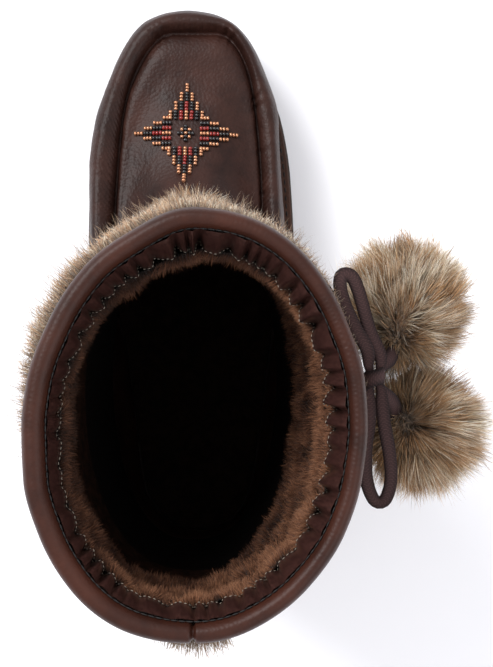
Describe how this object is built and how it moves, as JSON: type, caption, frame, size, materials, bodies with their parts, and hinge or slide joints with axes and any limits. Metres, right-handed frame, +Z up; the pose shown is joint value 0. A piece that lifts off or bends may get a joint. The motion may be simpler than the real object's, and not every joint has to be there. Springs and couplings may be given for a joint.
{
  "type": "mukluk boot",
  "caption": "Right-foot winter mukluk: moccasin leather foot with a rolled apron seam, fur shaft, rolled collar binding, tied lace bow with fur pompoms, lugged rubber sole.",
  "frame": {"origin": "on the floor, in the middle of the heel's flat spot", "axes": "+Z up, +Y towards the toe, +X towards the outer side of the right foot"},
  "size_m": [0.1971, 0.2933, 0.2561],
  "materials": {
    "rubber_sole": "moulded crepe rubber, dark brown, matt",
    "leather_rand": "stitched leather rim strip, brown",
    "footbed": "brown shearling footbed",
    "foot_leather": "soft tumbled full-grain leather, dark chocolate, low sheen",
    "beadwork": "glass seed beads in copper, black and dark red",
    "shaft_fur": "rabbit fur, tan and cream tips over grey-brown underfur",
    "binding_leather": "rolled leather binding, reddish brown, soft sheen",
    "facing_satin": "gathered satin, dark purple-brown",
    "woven_lace": "flat woven lace, dark brown"
  },
  "bodies": {
    "root": {"outsole": "rubber_sole", "welt": "leather_rand", "insole": "footbed", "upper": "foot_leather", "bead_star": "beadwork", "fur_shaft": "shaft_fur", "collar_binding": "binding_leather", "collar_facing": "facing_satin", "lace_wrap": "woven_lace", "lace_knot": "woven_lace", "bow_loop_upper": "woven_lace", "bow_loop_lower": "woven_lace", "lace_end_upper": "woven_lace", "lace_end_lower": "woven_lace", "pompom_upper": "shaft_fur", "pompom_lower": "shaft_fur"}
  },
  "joints": []
}
